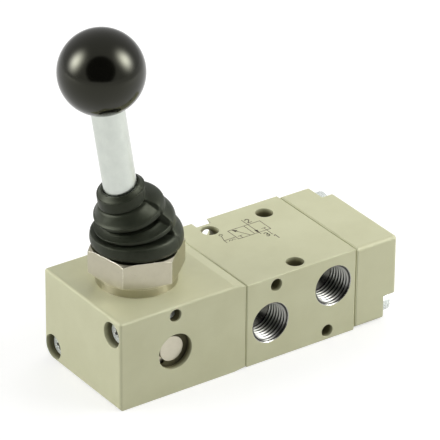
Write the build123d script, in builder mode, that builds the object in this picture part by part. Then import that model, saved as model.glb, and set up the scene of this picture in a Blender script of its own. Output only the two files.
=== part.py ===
from build123d import *
from math import cos, radians, sin, sqrt, tan
import os

# Hand lever air valve: a 3/2 spool valve that a two-position lever works.
# Millimetres, +Z up. The origin is the middle of the valve body's underside.
# The lever end is -X, the port face is -Y and the rear is +Y.

# Valve body
body_length = 41.8
body_depth = 42.0
body_height = 28.8
body_edge = 0.4
body_end_chamfer = 0.9
spool_drop = 14.4
stack_bore_radius = 8.5

# Ports: the wall lies at the major diameter of a G1/4 thread
port_radius = 6.58
port_mouth_chamfer = 0.22
port_floor_wall = 3.5
port_passage_radius = 3.6
drill_point_angle = 59.0
left_port_offset = -1.3
right_port_offset = 4.2

# Fixing holes of the valve body
top_hole_radius = 2.9
top_hole_pitch = 20.7
rear_top_hole_inset = 7.0
front_top_hole_inset = 4.25
cross_hole_radius = 2.1
cross_hole_pitch = 19.7
cross_hole_inset = 3.15
counterbore_radius = 4.2
counterbore_depth = 3.1

# Joints between the three blocks
gasket_thickness = 0.4
gasket_inset = 0.9
gasket_hold = 1.0

# Operator housing
operator_length = 45.6
operator_rise = 1.2
operator_edge = 0.9
operator_lower_round = 4.5
taper_length = 4.0
taper_top = 1.15
taper_bottom = 0.5
lever_setback = 25.7
shuttle_bore_depth = 40.0
neck_radius = 11.0
neck_height = 9.0
pocket_radius = 8.25
pocket_below_pivot = 6.8

# End cover
cover_length = 15.3
cover_inset = 0.25
cover_edge = 1.4
cover_notch_width = 8.3
cover_notch_height = 8.2
cover_notch_depth = 4.9
cover_notch_round = 2.5
cover_bore_radius = 6.5
cover_bore_depth = 8.0

# Screws on the two diagonals, M4
screw_side_inset = 4.75
screw_end_inset = 4.45
screw_radius = 2.0
screw_clearance = 0.15
screw_head_radius = 3.5
screw_head_height = 3.6
screw_head_edge = 0.4
screw_socket_radius = 1.5
screw_socket_depth = 1.6
screw_grip = 6.5
screw_recess_radius = 4.15
screw_recess_depth = 5.8
thread_clearance = 0.02
thread_runout = 0.5

# Lever, leaning towards -X at rest
arm = 12.5
lean = 9.1
pin_radius = 2.0
pin_fit = 0.01
pin_front_inset = 7.4
pin_rear_inset = 6.0
pin_edge = 0.25
pin_access_radius = 2.1
hub_radius = 6.0
hub_below = 3.4
hub_above = 9.0
hub_edge = 0.5
hub_fit = 0.03
finger_radius = 2.2
tip_radius = 3.5
rod_radius = 5.15
rod_shoulder = 65.25
stud_radius = 4.0
stud_length = 5.2
stud_fit = 0.02
knob_radius = 13.2
knob_centre = 77.1
knob_flat_gap = 0.05
insert_radius = 5.0
insert_length = 15.0
insert_fit = 0.02
top_stud_length = 12.0

# Hexagonal collar on the neck, and the seal ring under it
hex_flats = 26.4
hex_height = 8.5
hex_turn = 40.6
hex_chamfer_angle = 30.0
hex_under_angle = 17.0
hex_top_face_radius = 14.0
hex_washer_radius = 13.0
hex_washer_height = 0.7
hex_foot_radius = 12.6
hex_foot_height = 2.85
collar_gap = 0.05
collar_seal_inner = 11.05
collar_seal_section = 0.45
seal_recess_radius = 12.0
seal_recess_height = 1.0
collar_bore_radius = 8.8
groove_radius = 9.9
groove_height = 1.8
lip_radius = 11.0
lip_height = 1.6
lip_edge = 0.55
neck_fit = 0.02
neck_head_gap = 0.5

# Rubber boot
boot_gap = 0.3
boot_wall = 1.2
boot_base_radius = 12.9
boot_bulge_radius = 14.1
boot_bulge_rise = 1.9
boot_bulge_fall = 0.6
boot_shoulder = 4.3
boot_fold_radii = [12.2, 10.6]
boot_groove_radii = [10.3, 9.0, 7.6]
boot_first_groove = 5.6
boot_fold_pitch = 5.8
boot_fold_flat = 0.3
boot_turn = 17.0
boot_collar_radius = 7.1
boot_collar_top_radius = 6.6
boot_collar_length = 4.7

# Drive shuttle and detent
shuttle_radius = 7.5
shuttle_fit = 0.05
shuttle_half_length = 10.0
shuttle_edge = 0.5
tip_fit = 0.05
tip_well_below = 4.3
relief_radius = 4.6
relief_rise = 3.8
detent_groove_depth = 1.0
detent_flank_angle = 30.0
detent_ball_radius = 2.5
detent_ball_fit = 0.05
detent_access_radius = 6.0
detent_plug_recess = 2.2
detent_plug_boss = 4.1
detent_plug_length = 3.0
detent_plug_fit = 0.02
spring_pocket_radius = 2.45
spring_pocket_depth = 2.2
spring_radius = 1.8
spring_wire = 0.3
spring_turns = 4
circlip_thickness = 1.0
circlip_inner_radius = 4.2
circlip_groove = 0.3
circlip_slack = 0.05
circlip_gap_angle = 215.0
circlip_gap_width = 3.0

# Spool, its seals and the spacers between them
land_radius = 5.0
waist_radius = 3.4
waist_lap = 0.12
waist_slope = 0.8
stem_radius = 4.0
stem_step_setback = 5.7
spool_stud_radius = 3.0
spool_stud_length = 4.2
spool_overhang = 3.9
spool_edge = 0.4
seal_width = 2.4
seal_fit = 0.02
seal_edge = 0.5
spacer_inner_radius = 5.9
spacer_groove_radius = 7.3
spacer_rim = 1.6
spacer_window_radius = 2.3
spacer_window_count = 6
spacer_end_gap = 0.02
end_spacer_length = 1.95

# Places that follow from the sizes above
half_body = body_length / 2
front_y = -body_depth / 2
spool_height = body_height - spool_drop
chamber_pitch = (body_length - seal_width) / 3 - 2 * (end_spacer_length + spacer_end_gap) / 3
operator_face_x = -half_body - gasket_thickness
operator_end_x = operator_face_x - operator_length
operator_top = body_height + operator_rise
cover_face_x = half_body + gasket_thickness
cover_end_x = cover_face_x + cover_length
lever_x = operator_face_x - lever_setback
pivot_height = spool_height + arm
pin_front = body_depth / 2 - pin_front_inset
pin_rear = body_depth / 2 - pin_rear_inset
rest_shift = arm * sin(radians(lean))
travel = 2 * rest_shift
shuttle_x = lever_x + rest_shift
hex_foot_base = operator_top + collar_gap
hex_washer_base = hex_foot_base + hex_foot_height
hex_base = hex_washer_base + hex_washer_height
hex_top = hex_base + hex_height
lip_base = hex_top + groove_height
lip_top = lip_base + lip_height
neck_top = operator_top + neck_height
boot_base = hex_top + boot_gap

spool_axis = Axis((0, 0, spool_height), (1, 0, 0))
pivot = Vector(lever_x, 0, pivot_height)
lever_dir = Vector(-sin(radians(lean)), 0, cos(radians(lean)))
lever_side = Vector(cos(radians(lean)), 0, sin(radians(lean)))
lever_axis = Axis(pivot, lever_dir)
lever_section = Plane(origin=pivot, x_dir=lever_side, z_dir=(0, -1, 0))
stack_section = Plane(origin=(0, 0, spool_height), x_dir=(1, 0, 0), z_dir=(0, -1, 0))
collar_axis = Axis((lever_x, 0, 0), (0, 0, 1))
collar_section = Plane(origin=(lever_x, 0, 0), x_dir=(1, 0, 0), z_dir=(0, -1, 0))


def facing_front(x, z, y=front_y):
    """Plane on the port side, with its normal out of the block."""
    return Plane(origin=(x, y, z), x_dir=(1, 0, 0), z_dir=(0, -1, 0))


def facing_rear(x, z, y=-front_y):
    """Plane on the rear, with its normal out of the block."""
    return Plane(origin=(x, y, z), x_dir=(-1, 0, 0), z_dir=(0, 1, 0))


def facing_left(x, y, z):
    """Plane whose normal points to -X."""
    return Plane(origin=(x, y, z), x_dir=(0, -1, 0), z_dir=(-1, 0, 0))


def facing_right(x, y, z):
    """Plane whose normal points to +X."""
    return Plane(origin=(x, y, z), x_dir=(0, 1, 0), z_dir=(1, 0, 0))


def turned(points, plane, axis):
    """Solid turned from a closed profile given as (radius or place, height) points."""
    with BuildPart() as piece:
        with BuildSketch(plane):
            with BuildLine():
                Polyline(*points, close=True)
            make_face()
        revolve(axis=axis)
    return piece.part


# Screw places: front-upper and rear-lower in the operator, the other diagonal in the cover
screw_y = body_depth / 2 - screw_side_inset
upper_screw_z = body_height - screw_end_inset
operator_screw_spots = [(-screw_y, upper_screw_z), (screw_y, screw_end_inset)]
cover_screw_spots = [(-screw_y, screw_end_inset), (screw_y, upper_screw_z)]
tapped_radius = screw_radius + thread_clearance
tapped_depth = screw_grip + thread_runout
free_radius = screw_radius + screw_clearance

# Port cutter, turned about Z with its mouth at the origin and the hole below
port_depth = body_depth / 2 - stack_bore_radius - port_floor_wall
point_depth = (port_radius - port_passage_radius) / tan(radians(drill_point_angle))
passage_end = body_depth / 2 - stack_bore_radius / 2
port_cutter = turned(
    [
        (0, 0),
        (port_radius + port_mouth_chamfer, 0),
        (port_radius, -port_mouth_chamfer),
        (port_radius, -port_depth),
        (port_passage_radius, -port_depth - point_depth),
        (port_passage_radius, -passage_end),
        (0, -passage_end),
    ],
    Plane.XZ,
    Axis.Z,
)
port_places = [
    facing_front(-chamber_pitch, spool_height + left_port_offset),
    facing_front(chamber_pitch, spool_height + right_port_offset),
    facing_rear(0, spool_height),
]

# Valve body
with BuildPart() as valve_body:
    with BuildSketch():
        Rectangle(body_length, body_depth)
    extrude(amount=body_height)
    chamfer(valve_body.faces().sort_by(Axis.X)[-1].edges(), body_end_chamfer)
    chamfer(valve_body.faces().sort_by(Axis.X)[0].edges(), body_edge)
    fillet(valve_body.edges().filter_by(Axis.X), body_edge)
    with Locations(facing_right(half_body, 0, spool_height)):
        Hole(stack_bore_radius)
    for place in port_places:
        add(port_cutter.moved(place.location), mode=Mode.SUBTRACT)
    with Locations((0, front_top_hole_inset - body_depth / 2, body_height)):
        Hole(top_hole_radius)
    with Locations((0, body_depth / 2 - rear_top_hole_inset, body_height)):
        with GridLocations(top_hole_pitch, 0, 2, 1):
            Hole(top_hole_radius)
    for x, z in (
        (-cross_hole_pitch / 2, body_height - cross_hole_inset),
        (cross_hole_pitch / 2, cross_hole_inset),
    ):
        with Locations(facing_rear(x, z)):
            CounterBoreHole(cross_hole_radius, counterbore_radius, counterbore_depth)
    for y, z in operator_screw_spots:
        with Locations(facing_left(-half_body, y, z)):
            Hole(tapped_radius, tapped_depth)
    for y, z in cover_screw_spots:
        with Locations(facing_right(half_body, y, z)):
            Hole(tapped_radius, tapped_depth)
valve_body.part.label = "valve_body"
export_step(valve_body.part, "parts/valve_body.step")

# Stepped cutter for the detent: plug bore, ring groove and ball bore, mouth at the origin
ball_bore_end = body_depth / 2 - shuttle_radius / 2
plug_shoulder = detent_plug_recess + circlip_thickness
plug_bore_end = plug_shoulder + detent_plug_length
ring_outer = detent_access_radius + circlip_groove
detent_cutter = turned(
    [
        (0, 0),
        (detent_access_radius, 0),
        (detent_access_radius, -detent_plug_recess),
        (ring_outer, -detent_plug_recess),
        (ring_outer, -plug_shoulder),
        (detent_access_radius, -plug_shoulder),
        (detent_access_radius, -plug_bore_end),
        (detent_ball_radius + detent_ball_fit, -plug_bore_end),
        (detent_ball_radius + detent_ball_fit, -ball_bore_end),
        (0, -ball_bore_end),
    ],
    Plane.XZ,
    Axis.Z,
)

# Operator housing
with BuildPart() as operator_housing:
    with BuildSketch(Plane.XZ):
        with BuildLine():
            Polyline(
                (operator_end_x, 0),
                (operator_face_x - taper_length, 0),
                (operator_face_x, taper_bottom),
                (operator_face_x, operator_top - taper_top),
                (operator_face_x - taper_length, operator_top),
                (operator_end_x, operator_top),
                close=True,
            )
        make_face()
    extrude(amount=body_depth / 2, both=True)
    long_edges = operator_housing.edges().filter_by(Axis.X)
    fillet(long_edges.sort_by(Axis.Z)[:2].sort_by(Axis.Y)[-1], operator_lower_round)
    long_edges = operator_housing.edges().filter_by(Axis.X)
    fillet(long_edges.group_by(Axis.Z)[-1], operator_edge)
    fillet(operator_housing.faces().sort_by(Axis.X)[0].edges(), operator_edge)
    with BuildSketch(Plane.XY.offset(operator_top - operator_edge)):
        with Locations((lever_x, 0)):
            Circle(neck_radius)
    extrude(amount=neck_height + operator_edge)
    with Locations((lever_x, 0, neck_top)):
        Hole(pocket_radius, neck_top - pivot_height + pocket_below_pivot)
    with Locations(facing_right(operator_face_x, 0, spool_height)):
        Hole(shuttle_radius + shuttle_fit, shuttle_bore_depth)
    add(
        detent_cutter.moved(facing_front(lever_x, spool_height).location),
        mode=Mode.SUBTRACT,
    )
    with Locations(facing_front(lever_x, pivot_height)):
        Hole(pin_access_radius, pin_front_inset)
    with BuildSketch(facing_front(lever_x, pivot_height, pin_rear)):
        Circle(pin_radius + pin_fit)
    extrude(amount=pin_rear + pin_front, mode=Mode.SUBTRACT)
    for y, z in operator_screw_spots:
        with Locations(facing_left(operator_end_x, y, z)):
            CounterBoreHole(free_radius, screw_recess_radius, screw_recess_depth)
operator_housing.part.label = "operator_housing"
export_step(operator_housing.part, "parts/operator_housing.step")

# End cover, with a stepped corner for each screw head
cover_width = body_depth - 2 * cover_inset
cover_height = body_height - 2 * cover_inset
notch_base_x = cover_end_x - cover_notch_depth
with BuildPart() as end_cover:
    with BuildSketch(Plane.YZ.offset(cover_face_x)):
        with Locations((0, body_height / 2)):
            RectangleRounded(cover_width, cover_height, cover_edge)
    extrude(amount=cover_length)
    fillet(end_cover.faces().sort_by(Axis.X)[-1].edges(), cover_edge)
    for side in (-1, 1):
        y = side * (cover_width - cover_notch_width) / 2
        z = body_height / 2 + side * (cover_height - cover_notch_height) / 2
        with BuildSketch(Plane.YZ.offset(notch_base_x)):
            with Locations((y, z)):
                Rectangle(cover_notch_width, cover_notch_height)
        extrude(amount=cover_notch_depth, mode=Mode.SUBTRACT)
        inner_y = side * (cover_width / 2 - cover_notch_width)
        inner_z = body_height / 2 + side * (cover_height / 2 - cover_notch_height)
        corner = end_cover.edges().filter_by(Axis.X).sort_by_distance((cover_end_x, inner_y, inner_z))[0]
        fillet(corner, cover_notch_round)
    with Locations(facing_left(cover_face_x, 0, spool_height)):
        Hole(cover_bore_radius, cover_bore_depth)
    for y, z in cover_screw_spots:
        with Locations(facing_right(notch_base_x, y, z)):
            Hole(free_radius)
end_cover.part.label = "end_cover"
export_step(end_cover.part, "parts/end_cover.step")


def gasket(face_x, screw_spots):
    """Flat gasket on the side of face_x that points to +X. It holds the end spacer in its bore."""
    with BuildPart() as sheet:
        with BuildSketch(Plane.YZ.offset(face_x)):
            with Locations((0, body_height / 2)):
                Rectangle(body_depth - 2 * gasket_inset, body_height - 2 * gasket_inset)
            with Locations((0, spool_height)):
                Circle(stack_bore_radius - gasket_hold, mode=Mode.SUBTRACT)
            with Locations(screw_spots):
                Circle(free_radius, mode=Mode.SUBTRACT)
        extrude(amount=gasket_thickness)
    return sheet.part


# Gaskets at the two joints
operator_gasket = gasket(operator_face_x, operator_screw_spots)
operator_gasket.label = "operator_gasket"
export_step(operator_gasket, "parts/operator_gasket.step")
cover_gasket = gasket(half_body, cover_screw_spots)
cover_gasket.label = "cover_gasket"
export_step(cover_gasket, "parts/cover_gasket.step")

# Hexagonal collar, turned from hexagon bar: the cones round it leave the arcs on its flats
hex_corner = hex_flats / 2 / cos(radians(30))
chamfer_slope = tan(radians(hex_chamfer_angle))
under_slope = tan(radians(hex_under_angle))
neck_socket_top = neck_top + neck_head_gap
hex_envelope = turned(
    [
        (0, hex_base),
        (hex_flats / 2, hex_base),
        (hex_corner + 1, hex_base + (hex_corner + 1 - hex_flats / 2) * under_slope),
        (hex_corner + 1, hex_top - (hex_corner + 1 - hex_top_face_radius) * chamfer_slope),
        (hex_top_face_radius, hex_top),
        (0, hex_top),
    ],
    collar_section,
    collar_axis,
)
collar_bore = [
    (0, hex_foot_base),
    (seal_recess_radius, hex_foot_base),
    (seal_recess_radius, hex_foot_base + seal_recess_height),
    (neck_radius + neck_fit, hex_foot_base + seal_recess_height),
    (neck_radius + neck_fit, neck_socket_top),
    (collar_bore_radius, neck_socket_top),
    (collar_bore_radius, lip_top),
    (0, lip_top),
]
with BuildPart() as hex_collar:
    with BuildSketch(Plane.XY.offset(hex_base)):
        with Locations((lever_x, 0)):
            RegularPolygon(hex_flats / 2, 6, major_radius=False, rotation=hex_turn)
    extrude(amount=hex_height)
    add(hex_envelope, mode=Mode.INTERSECT)
    with BuildSketch(collar_section):
        with BuildLine():
            Polyline(
                (0, hex_foot_base),
                (hex_foot_radius, hex_foot_base),
                (hex_foot_radius, hex_washer_base),
                (hex_washer_radius, hex_washer_base),
                (hex_washer_radius, hex_base + hex_height / 2),
                (groove_radius, hex_base + hex_height / 2),
                (groove_radius, lip_base),
                (lip_radius, lip_base),
                (lip_radius - lip_edge, lip_top),
                (0, lip_top),
                close=True,
            )
        make_face()
    revolve(axis=collar_axis)
    with BuildSketch(collar_section):
        with BuildLine():
            Polyline(*collar_bore, close=True)
        make_face()
    revolve(axis=collar_axis, mode=Mode.SUBTRACT)
hex_collar.part.label = "hex_collar"
export_step(hex_collar.part, "parts/hex_collar.step")

# Seal ring in the collar's foot, on the operator housing
with BuildPart() as collar_seal:
    with BuildSketch(collar_section):
        with Locations((collar_seal_inner + collar_seal_section, operator_top + collar_seal_section)):
            Circle(collar_seal_section)
    revolve(axis=collar_axis)
collar_seal.part.label = "collar_seal"
export_step(collar_seal.part, "parts/collar_seal.step")

# Rubber boot: rings of rubber, each a little further over, from the collar to the rod
boot_start = boot_base - pivot_height
boot_collar_base = boot_start + boot_first_groove + len(boot_fold_radii) * boot_fold_pitch
boot_end = boot_collar_base + boot_collar_length


def boot_plane(height):
    """Plane across the boot at a height above the pivot; its folds lean further than the rod."""
    rise = height - boot_start - boot_shoulder
    share = min(max(rise / (boot_collar_base - boot_start - boot_shoulder), 0), 1)
    place = radians(lean * share)
    turn = radians(boot_turn * sin(radians(90 * sqrt(share))))
    centre = pivot + Vector(-sin(place), 0, cos(place)) * height
    return Plane(origin=centre, x_dir=(cos(turn), 0, sin(turn)), z_dir=(-sin(turn), 0, cos(turn)))


boot_outer = [
    (boot_start, boot_base_radius),
    (boot_start + boot_bulge_rise, boot_bulge_radius),
    (boot_start + boot_shoulder, boot_bulge_radius - boot_bulge_fall),
]
boot_inner = [
    (boot_start, groove_radius + boot_gap),
    (boot_start + groove_height - 2 * boot_gap, groove_radius + boot_gap),
    (boot_start + groove_height - boot_gap, lip_radius + boot_gap),
    (boot_start + groove_height + lip_height, lip_radius + boot_gap),
]
for count, groove in enumerate(boot_groove_radii):
    height = boot_start + boot_first_groove + count * boot_fold_pitch
    boot_outer.append((height, groove))
    boot_inner.append((height, groove - boot_wall))
    if count < len(boot_fold_radii):
        fold = boot_fold_radii[count]
        boot_outer.append((height + boot_fold_pitch * (1 - boot_fold_flat) / 2, fold))
        boot_outer.append((height + boot_fold_pitch * (1 + boot_fold_flat) / 2, fold))
        boot_inner.append((height + boot_fold_pitch / 2, fold - boot_wall))
boot_outer.append((boot_collar_base + boot_gap, boot_collar_radius))
boot_outer.append((boot_end, boot_collar_top_radius))
boot_inner.append((boot_collar_base + boot_gap, rod_radius + boot_gap))
boot_inner.append((boot_end, rod_radius + boot_gap))
with BuildPart() as rubber_boot:
    for height, radius in boot_outer:
        with BuildSketch(boot_plane(height)):
            Circle(radius)
    loft(ruled=True)
    for height, radius in boot_inner:
        with BuildSketch(boot_plane(height)):
            Circle(radius)
    loft(ruled=True, mode=Mode.SUBTRACT)
rubber_boot.part.label = "rubber_boot"
export_step(rubber_boot.part, "parts/rubber_boot.step")

# Pivot pin, held in the housing's rear wall and behind the front screw
with BuildPart() as pivot_pin:
    with BuildSketch(facing_front(lever_x, pivot_height, pin_rear)):
        Circle(pin_radius)
    extrude(amount=pin_rear + pin_front)
    chamfer(pivot_pin.edges().filter_by(GeomType.CIRCLE), pin_edge)
pivot_pin.part.label = "pivot_pin"
export_step(pivot_pin.part, "parts/pivot_pin.step")

# Lever hub: it swings on the pin, and its finger ends in a ball in the drive shuttle
with BuildPart() as lever_hub:
    with BuildSketch(lever_section):
        with BuildLine():
            Polyline(
                (0, -arm),
                (finger_radius, -arm),
                (finger_radius, -hub_below),
                (hub_radius - hub_edge, -hub_below),
                (hub_radius, hub_edge - hub_below),
                (hub_radius, hub_above - hub_edge),
                (hub_radius - hub_edge, hub_above),
                (0, hub_above),
                close=True,
            )
        make_face()
    revolve(axis=lever_axis)
    with Locations(pivot - lever_dir * arm):
        Sphere(tip_radius)
    with Locations(Plane(origin=pivot + lever_dir * hub_above, x_dir=lever_side, z_dir=lever_dir)):
        Hole(stud_radius + stud_fit, stud_length + thread_runout)
    with BuildSketch(facing_front(lever_x, pivot_height, -hub_radius)):
        Circle(pin_radius + hub_fit)
    extrude(amount=-2 * hub_radius, mode=Mode.SUBTRACT)
lever_hub.part.label = "lever_hub"
export_step(lever_hub.part, "parts/lever_hub.step")

# Lever rod, with a stud into the hub and one into the knob
with BuildPart() as lever_rod:
    with BuildSketch(lever_section):
        with BuildLine():
            Polyline(
                (0, hub_above - stud_length),
                (stud_radius, hub_above - stud_length),
                (stud_radius, hub_above),
                (rod_radius, hub_above),
                (rod_radius, rod_shoulder),
                (stud_radius, rod_shoulder),
                (stud_radius, rod_shoulder + top_stud_length),
                (0, rod_shoulder + top_stud_length),
                close=True,
            )
        make_face()
    revolve(axis=lever_axis)
lever_rod.part.label = "lever_rod"
export_step(lever_rod.part, "parts/lever_rod.step")

# Ball knob, cut flat where the rod meets it
knob_flat = rod_shoulder + knob_flat_gap
socket_radius = insert_radius + insert_fit
socket_top = knob_flat + insert_length + insert_fit
knob_plane = Plane(origin=pivot + lever_dir * knob_flat, x_dir=lever_side, z_dir=lever_dir)
with BuildPart() as ball_knob:
    with Locations(pivot + lever_dir * knob_centre):
        Sphere(knob_radius)
    split(bisect_by=knob_plane, keep=Keep.TOP)
    with BuildSketch(knob_plane):
        Circle(socket_radius)
    extrude(amount=socket_top - knob_flat, mode=Mode.SUBTRACT)
ball_knob.part.label = "ball_knob"
export_step(ball_knob.part, "parts/ball_knob.step")

# Threaded insert in the knob
with BuildPart() as knob_insert:
    with BuildSketch(knob_plane):
        Circle(insert_radius)
        Circle(stud_radius + stud_fit, mode=Mode.SUBTRACT)
    extrude(amount=insert_length)
knob_insert.part.label = "knob_insert"
export_step(knob_insert.part, "parts/knob_insert.step")

# Drive shuttle: a well for the finger's ball, and two detent grooves one travel apart
groove_half = detent_groove_depth / tan(radians(detent_flank_angle))
shuttle_left = shuttle_x - shuttle_half_length
shuttle_right = shuttle_x + shuttle_half_length
with BuildPart() as drive_shuttle:
    with BuildSketch(Plane.YZ.offset(shuttle_left)):
        with Locations((0, spool_height)):
            Circle(shuttle_radius)
    extrude(amount=2 * shuttle_half_length)
    chamfer(drive_shuttle.edges().filter_by(GeomType.CIRCLE), shuttle_edge)
    for groove_x in (lever_x, lever_x + travel):
        with BuildSketch(stack_section):
            with BuildLine():
                Polyline(
                    (groove_x - groove_half, shuttle_radius),
                    (groove_x, shuttle_radius - detent_groove_depth),
                    (groove_x + groove_half, shuttle_radius),
                    (groove_x + groove_half, shuttle_radius + shuttle_edge),
                    (groove_x - groove_half, shuttle_radius + shuttle_edge),
                    close=True,
                )
            make_face()
        revolve(axis=spool_axis, mode=Mode.SUBTRACT)
    with Locations((shuttle_x, 0, spool_height - tip_well_below)):
        Cylinder(
            tip_radius + tip_fit,
            tip_well_below + shuttle_radius,
            align=(Align.CENTER, Align.CENTER, Align.MIN),
            mode=Mode.SUBTRACT,
        )
    with Locations((shuttle_x, 0, spool_height + relief_rise)):
        Cylinder(
            relief_radius,
            shuttle_radius,
            align=(Align.CENTER, Align.CENTER, Align.MIN),
            mode=Mode.SUBTRACT,
        )
    with Locations(facing_right(shuttle_right, 0, spool_height)):
        Hole(spool_stud_radius + stud_fit, spool_stud_length + thread_runout)
drive_shuttle.part.label = "drive_shuttle"
export_step(drive_shuttle.part, "parts/drive_shuttle.step")

# Spool: the waist opens one pair of chambers at each end of the travel
waist_length = chamber_pitch - waist_lap
stem_step_x = operator_face_x - stem_step_setback
spool_end_x = cover_face_x + spool_overhang
waist_left = travel / 2 - waist_length / 2
waist_right = travel / 2 + waist_length / 2
spool = turned(
    [
        (shuttle_right - spool_stud_length, 0),
        (shuttle_right - spool_stud_length, spool_stud_radius),
        (shuttle_right, spool_stud_radius),
        (shuttle_right, stem_radius),
        (stem_step_x, stem_radius),
        (stem_step_x, land_radius - spool_edge),
        (stem_step_x + spool_edge, land_radius),
        (waist_left, land_radius),
        (waist_left + waist_slope, waist_radius),
        (waist_right - waist_slope, waist_radius),
        (waist_right, land_radius),
        (spool_end_x - spool_edge, land_radius),
        (spool_end_x, land_radius - spool_edge),
        (spool_end_x, 0),
    ],
    stack_section,
    spool_axis,
)
spool.label = "spool"
export_step(spool, "parts/spool.step")

# Spool seals, half a pitch either side of each chamber
stack_radius = stack_bore_radius - seal_fit
seal_places = [(place - 1.5) * chamber_pitch for place in range(4)]
with BuildPart() as seal_ring:
    with BuildSketch(Plane.YZ):
        Circle(stack_radius)
        Circle(land_radius + seal_fit, mode=Mode.SUBTRACT)
    extrude(amount=seal_width / 2, both=True)
    fillet(seal_ring.edges().filter_by(GeomType.CIRCLE), seal_edge)
spool_seals = Compound(
    label="spool_seals",
    children=[seal_ring.part.moved(Location((x, 0, spool_height))) for x in seal_places],
)
export_step(spool_seals, "parts/spool_seals.step")

# Spacer cages, which hold the seals apart and let the air in through windows
cage_half = (chamber_pitch - seal_width) / 2 - spacer_end_gap
with BuildPart() as cage:
    with BuildSketch(Plane.XZ):
        with BuildLine():
            Polyline(
                (-cage_half, spacer_inner_radius),
                (cage_half, spacer_inner_radius),
                (cage_half, stack_radius),
                (cage_half - spacer_rim, stack_radius),
                (cage_half - spacer_rim, spacer_groove_radius),
                (spacer_rim - cage_half, spacer_groove_radius),
                (spacer_rim - cage_half, stack_radius),
                (-cage_half, stack_radius),
                close=True,
            )
        make_face()
    revolve(axis=Axis.X)
    for turn in range(spacer_window_count // 2):
        with Locations(Plane.XY.rotated((180 * turn / (spacer_window_count // 2), 0, 0))):
            Cylinder(spacer_window_radius, 2 * stack_bore_radius, mode=Mode.SUBTRACT)
spacer_cages = Compound(
    label="spacer_cages",
    children=[
        cage.part.moved(Location((place * chamber_pitch, 0, spool_height))) for place in (-1, 0, 1)
    ],
)
export_step(spacer_cages, "parts/spacer_cages.step")

# End spacers between the outer seals and the blocks
end_spacer_start = 1.5 * chamber_pitch + seal_width / 2 + spacer_end_gap
with BuildPart() as end_spacers:
    for side in (-1, 1):
        with BuildSketch(Plane.YZ.offset(side * end_spacer_start)):
            with Locations((0, spool_height)):
                Circle(stack_radius)
                Circle(spacer_inner_radius, mode=Mode.SUBTRACT)
        extrude(amount=side * (half_body - end_spacer_start))
end_spacers.part.label = "end_spacers"
export_step(end_spacers.part, "parts/end_spacers.step")

# Detent plug, turned about the large front hole: its boss stands in the retaining ring
detent_place = facing_front(lever_x, spool_height).location
detent_plug = turned(
    [
        (0, -detent_plug_recess),
        (detent_plug_boss, -detent_plug_recess),
        (detent_plug_boss, -plug_shoulder),
        (detent_access_radius - detent_plug_fit, -plug_shoulder),
        (detent_access_radius - detent_plug_fit, -plug_bore_end),
        (spring_pocket_radius, -plug_bore_end),
        (spring_pocket_radius, spring_pocket_depth - plug_bore_end),
        (0, spring_pocket_depth - plug_bore_end),
    ],
    Plane.XZ,
    Axis.Z,
).moved(detent_place)
detent_plug.label = "detent_plug"
export_step(detent_plug, "parts/detent_plug.step")

# Retaining ring round the plug's boss, sprung into its groove and open at one side
ring_back_y = front_y + plug_shoulder - circlip_slack
with BuildPart() as retaining_ring:
    with BuildSketch(facing_front(lever_x, spool_height, ring_back_y)):
        Circle(detent_access_radius + circlip_groove - circlip_slack)
        Circle(circlip_inner_radius, mode=Mode.SUBTRACT)
        with Locations(Location((0, 0, 0), (0, 0, circlip_gap_angle))):
            Rectangle(
                2 * detent_access_radius,
                circlip_gap_width,
                align=(Align.MIN, Align.CENTER),
                mode=Mode.SUBTRACT,
            )
    extrude(amount=circlip_thickness - 2 * circlip_slack)
retaining_ring.part.label = "retaining_ring"
export_step(retaining_ring.part, "parts/retaining_ring.step")

# Detent ball, drawn lifted to the crest between the grooves
ball_y = -shuttle_radius - detent_ball_fit - detent_ball_radius
with BuildPart() as detent_ball:
    with Locations((lever_x, ball_y, spool_height)):
        Sphere(detent_ball_radius)
detent_ball.part.label = "detent_ball"
export_step(detent_ball.part, "parts/detent_ball.step")

# Detent spring, a coil from the plug's pocket to the back of the ball
spring_front_y = front_y + plug_bore_end - spring_pocket_depth + spring_wire
spring_back_y = ball_y - sqrt(detent_ball_radius**2 - spring_radius**2) - 2 * spring_wire
with BuildPart() as detent_spring:
    with BuildLine():
        coil = Helix(
            pitch=(spring_back_y - spring_front_y) / spring_turns,
            height=spring_back_y - spring_front_y,
            radius=spring_radius,
            center=(lever_x, spring_front_y, spool_height),
            direction=(0, 1, 0),
        )
    with BuildSketch(Plane(origin=coil @ 0, z_dir=coil % 0)):
        Circle(spring_wire)
    sweep(is_frenet=True)
detent_spring.part.label = "detent_spring"
export_step(detent_spring.part, "parts/detent_spring.step")


def cap_screw(length):
    """Screw along Z, the underside of its head at the origin and its shank below."""
    with BuildPart() as screw:
        Cylinder(screw_head_radius, screw_head_height, align=(Align.CENTER, Align.CENTER, Align.MIN))
        fillet(screw.edges().group_by(Axis.Z)[-1], screw_head_edge)
        Cylinder(screw_radius, length, align=(Align.CENTER, Align.CENTER, Align.MAX))
        with Locations((0, 0, screw_head_height)):
            Hole(screw_socket_radius, screw_socket_depth)
    return screw.part


# Screws of the operator and of the cover
operator_seat_x = operator_end_x + screw_recess_depth
operator_screw = cap_screw(-half_body + screw_grip - operator_seat_x)
operator_screws = Compound(
    label="operator_screws",
    children=[
        operator_screw.moved(facing_left(operator_seat_x, y, z).location) for y, z in operator_screw_spots
    ],
)
export_step(operator_screws, "parts/operator_screws.step")
cover_screw = cap_screw(notch_base_x - half_body + screw_grip)
cover_screws = Compound(
    label="cover_screws",
    children=[cover_screw.moved(facing_right(notch_base_x, y, z).location) for y, z in cover_screw_spots],
)
export_step(cover_screws, "parts/cover_screws.step")
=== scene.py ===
import math

import bpy
from mathutils import Matrix, Vector


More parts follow.
